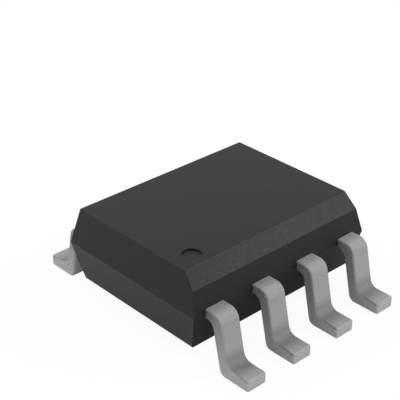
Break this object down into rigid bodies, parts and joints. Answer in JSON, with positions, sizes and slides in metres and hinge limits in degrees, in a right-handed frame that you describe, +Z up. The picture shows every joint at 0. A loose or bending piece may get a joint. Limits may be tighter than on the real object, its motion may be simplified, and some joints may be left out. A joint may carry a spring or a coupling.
{
  "type": "soic chip",
  "caption": "Small-outline chip: drafted black moulded body with a chamfered pin-one edge, gull-wing leads on both long sides, die and wires inside.",
  "frame": {"origin": "centre of the package in plan, on the plane that the undersides of the feet stand on", "axes": "+X along the rows of leads, +Y across the package away from pin one's row, +Z up out of the marked top face"},
  "size_m": [0.005, 0.0062, 0.0021],
  "materials": {
    "moulding_compound": "matte dark grey moulding compound",
    "tin_plating": "matte tin plating on copper",
    "bare_copper": "bare copper alloy sheet",
    "silicon": "polished silicon with a dull sawn edge",
    "adhesive": "cured silver-filled adhesive",
    "gold_wire": "drawn gold wire"
  },
  "bodies": {
    "root": {"mould_body": "moulding_compound", "die_paddle": "bare_copper", "die_adhesive": "adhesive", "silicon_die": "silicon", "lead_1": "tin_plating", "lead_2": "tin_plating", "lead_3": "tin_plating", "lead_4": "tin_plating", "lead_5": "tin_plating", "lead_6": "tin_plating", "lead_7": "tin_plating", "lead_8": "tin_plating", "bond_wire_1": "gold_wire", "bond_wire_2": "gold_wire", "bond_wire_3": "gold_wire", "bond_wire_4": "gold_wire", "bond_wire_5": "gold_wire", "bond_wire_6": "gold_wire", "bond_wire_7": "gold_wire", "bond_wire_8": "gold_wire"}
  },
  "joints": []
}
